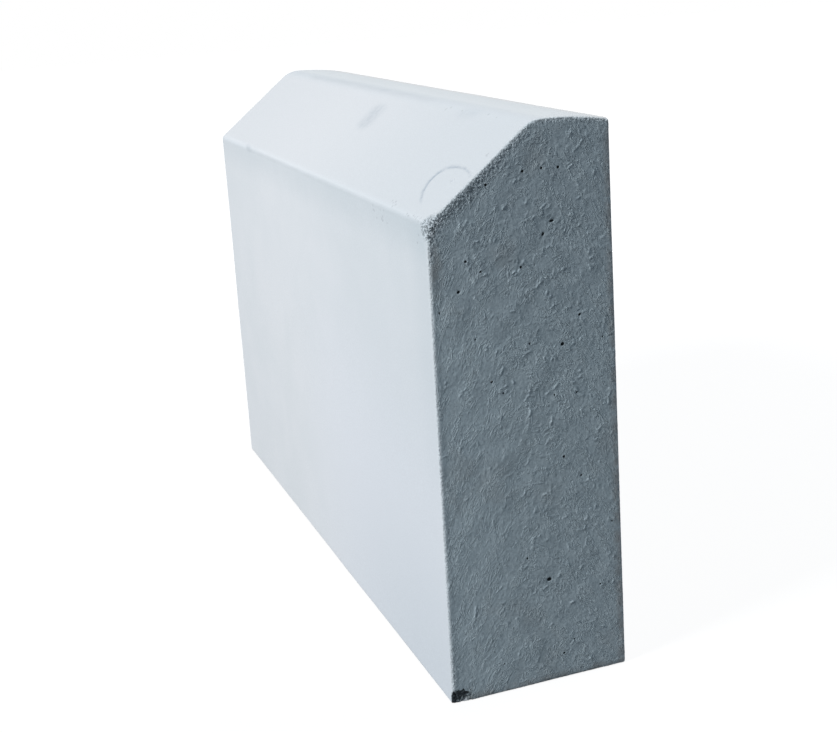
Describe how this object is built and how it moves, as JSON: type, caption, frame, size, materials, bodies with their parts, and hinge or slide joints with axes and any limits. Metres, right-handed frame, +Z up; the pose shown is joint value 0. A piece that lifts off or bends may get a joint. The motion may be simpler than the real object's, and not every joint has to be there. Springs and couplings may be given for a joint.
{
  "type": "kerb stone",
  "caption": "Precast concrete kerb stone: an upright block with a splayed, rounded road-side top corner, a crowned top, flat ends and a small broken foot corner.",
  "frame": {"origin": "centre of the base, on the bed the stone stands on", "axes": "+X along the stone towards the end with the broken corner, -Y the road side with the splay, +Z up"},
  "size_m": [0.45, 0.102, 0.3],
  "materials": {
    "concrete": "pale grey cast concrete: smooth mould faces, rough wrinkled ends with a few small air holes"
  },
  "bodies": {
    "root": {"kerb_stone": "concrete"}
  },
  "joints": []
}
